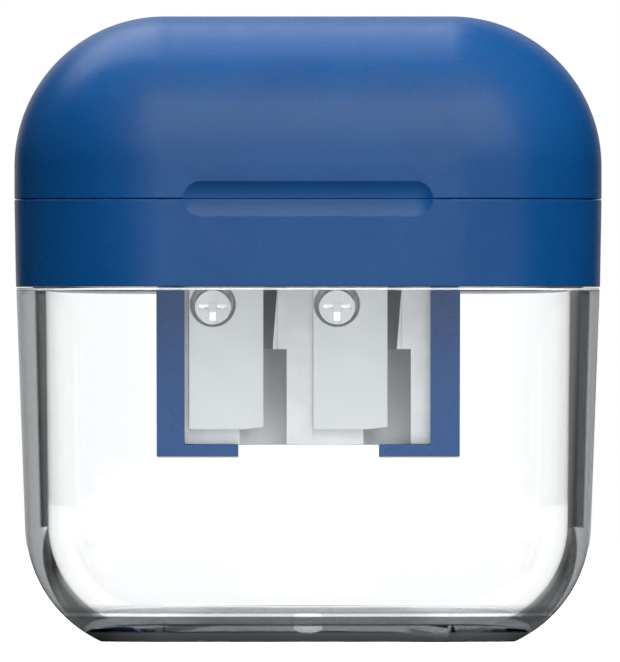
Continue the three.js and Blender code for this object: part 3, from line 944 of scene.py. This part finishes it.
def flute_cutters(x):
    """Shallow flutes along the seat, which grip the blade's back."""
    flutes = []
    profile = [(0, -FLUTE_HIGH), (FLUTE_R, -FLUTE_HIGH), (FLUTE_R, -FLUTE_LOW), (0, -FLUTE_LOW)]
    along_face = Matrix.Rotation(math.radians(90), 4, "X")
    for i in range(FLUTE_COUNT):
        middle = at(x + FLUTE_FIRST + FLUTE_PITCH * i, 0, FLUTE_R - FLUTE_DEPTH)
        flutes.append(turned("flute", profile, face_frame() @ middle @ along_face, steps=20))
    return flutes


def pencil_hole(x, bore_r):
    """The bore and the cone of a pencil hole, with a chamfer at the top."""
    top = BLOCK_TOP + 1
    mouth_r = bore_r + HOLE_CHAMFER
    profile = [
        (0, FACE_Z),
        (bore_r, FACE_Z + bore_r / math.tan(FACE_ANGLE)),
        (bore_r, BLOCK_TOP + 0.2 - HOLE_CHAMFER),
        (mouth_r, BLOCK_TOP + 0.2),
        (mouth_r, top),
        (0, top),
    ]
    return turned("cone", profile, at(x, PENCIL_Y, 0), steps=96)


def channel_cutters(x):
    """The open channel round the pencil's tip: a round back and straight sides."""
    low = BLOCK_BOTTOM - 1
    profile = [(0, low), (CHANNEL_HALF, low), (CHANNEL_HALF, CHANNEL_TOP), (0, CHANNEL_TOP)]
    round_back = turned("channel", profile, at(x, PENCIL_Y, 0), steps=64)
    front = [
        (x - CHANNEL_HALF, low), (x + CHANNEL_HALF, low),
        (x + CHANNEL_HALF, CHANNEL_TOP), (x - CHANNEL_HALF, CHANNEL_TOP),
    ]
    slot = prism("slot", front, -9, PENCIL_Y, "xz")
    return [round_back, slot]


def window_cutter(x):
    """The slit beside the cutting edge, which widens upwards."""
    outline = [
        (x - 0.5, CHANNEL_TOP - 0.5),
        (x + WINDOW_LOW, CHANNEL_TOP - 0.5),
        (x + WINDOW_HIGH, WINDOW_TOP),
        (x - 0.5, WINDOW_TOP),
    ]
    return prism("window", outline, -9, PENCIL_Y - 0.2, "xz")


def screw_hole(x):
    low, r = -SCREW_LENGTH - GAP, SCREW_HOLE_R
    profile = [(0, low), (r, low), (r, -0.2), (r + 0.7, 0.6), (0, 0.6)]
    return turned("screw_hole", profile, face_frame() @ at(x - SCREW_FROM_AXIS, SCREW_ALONG, 0), steps=40)


def side_grooves():
    """Round grooves down both sides of the block, for fingers or a holder."""
    grooves = []
    pitch = (BLOCK_BACK - PENCIL_Y) / GROOVE_COUNT
    low, high = BLOCK_BOTTOM - 1, BLOCK_TOP + 1
    profile = [(0, low), (GROOVE_R, low), (GROOVE_R, high), (0, high)]
    out = GROOVE_R - GROOVE_DEPTH
    for side_x in (BLOCK_LEFT - out, BLOCK_RIGHT + out):
        for i in range(GROOVE_COUNT):
            place = at(side_x, PENCIL_Y + (i + 0.5) * pitch, 0)
            grooves.append(turned("groove", profile, place, steps=32))
    return grooves


def blade(side, material):
    """A ground blade: bevelled along its right edge, and countersunk for its screw."""
    x = HOLES[side][0]
    edge = x + EDGE_PAST_AXIS
    left = edge - BLADE_WIDTH
    outline = [
        (left, BLADE_LOW),
        (edge - GRIND_WIDTH, BLADE_LOW),
        (edge, BLADE_LOW + BLADE_NICK),
        (edge, BLADE_HIGH),
        (left, BLADE_HIGH),
    ]
    top = BLADE_GAP + BLADE_THICKNESS
    piece = prism("blade_" + side + "_ground", outline, BLADE_GAP, top, "xy")
    slope = (BLADE_THICKNESS - GRIND_LAND) / GRIND_WIDTH
    grind_outline = [
        (edge - GRIND_WIDTH - 1, top + slope),
        (edge + 1, top - slope * (GRIND_WIDTH + 1)),
        (edge + 1, top + 1),
        (edge - GRIND_WIDTH - 1, top + 1),
    ]
    grind = prism("grind", grind_outline, BLADE_LOW - 1, BLADE_HIGH + 1, "xz")
    flare = (SINK_HIGH_R - SINK_LOW_R) / BLADE_THICKNESS
    low_r, high_r = SINK_LOW_R - flare / 2, SINK_HIGH_R + flare / 2
    profile = [(0, BLADE_GAP - 0.5), (low_r, BLADE_GAP - 0.5), (high_r, top + 0.5), (0, top + 0.5)]
    sink = turned("sink", profile, at(x - SCREW_FROM_AXIS, SCREW_ALONG + SINK_RISE, 0), steps=80)
    boolean(piece, [grind, sink])
    piece.data.transform(face_frame())
    soften(piece, 0.035)
    return finish_piece(piece, "head", "blade_" + side, material)


def screw(side, material):
    """A countersunk screw with a threaded shank and a cross recess in its head."""
    shank = SCREW_SHANK_R
    profile = [(0, -SCREW_LENGTH), (shank - 0.5, -SCREW_LENGTH)]
    pitch = (SCREW_LENGTH - 0.6) / THREAD_TURNS
    for i in range(THREAD_TURNS):
        z = 0.35 - SCREW_LENGTH + i * pitch
        profile += [(shank - THREAD_DEPTH, z), (shank, z + pitch * 0.4), (shank, z + pitch * 0.55)]
    head = [
        (shank, 0.05),
        (SCREW_HEAD_R, SCREW_CONE_TOP, 0.05),
        (SCREW_HEAD_R, SCREW_HEAD_TOP, 0.24),
        (0, SCREW_HEAD_TOP),
    ]
    profile += [(shank - 0.1, 0.02), *rounded(head, 5)[1:]]
    piece = turned("screw_" + side, profile, steps=96)
    boolean(piece, recess_cutters())
    piece.data.transform(face_frame() @ at(HOLES[side][0] - SCREW_FROM_AXIS, SCREW_ALONG, 0))
    soften(piece, 0.02)
    return finish_piece(piece, "head", "blade_screw_" + side, material)


def recess_section(start, end, start_depth, end_depth):
    """Section of a recess arm along the blade, by how deep its floor lies at each end."""
    top = SCREW_HEAD_TOP
    over = top + 0.5
    return [(start, top - start_depth), (end, top - end_depth), (end, over), (start, over)]


def recess_cutters():
    """A cross recess: side arms whose floors face up the blade, and end arms that rise outwards."""
    half, middle, reach = RECESS_WIDTH / 2, RECESS_MIDDLE, RECESS_REACH
    side_arm = recess_section(-middle, middle, 0.1, 0.22)
    lower_arm = recess_section(-reach - 0.1, -middle - 0.3, 0.06, 0.3)
    upper_arm = recess_section(middle + 0.1, reach, 0.12, 0.1)
    hub = recess_section(-middle - 0.32, middle + 0.12, 0.1, 0.1)
    return [
        prism("arm", side_arm, -reach, -half - HAIR),
        prism("arm", side_arm, half + HAIR, reach),
        prism("arm", lower_arm, -half, half),
        prism("arm", upper_arm, -half, half),
        prism("hub", hub, -half - 3 * HAIR, half + 3 * HAIR),
    ]


# ---------------------------------------------------------------- assembly

camera()
studio_light()
pale_floor()
blue = blue_plastic()
plated = plated_steel()
ground = blade_steel()
container(clear_plastic())
collar(blue)
lid(blue)
carrier(blue)
hinge_pin(plated)
block(cast_alloy())
for hole_side in HOLES:
    blade(hole_side, ground)
    screw(hole_side, plated)
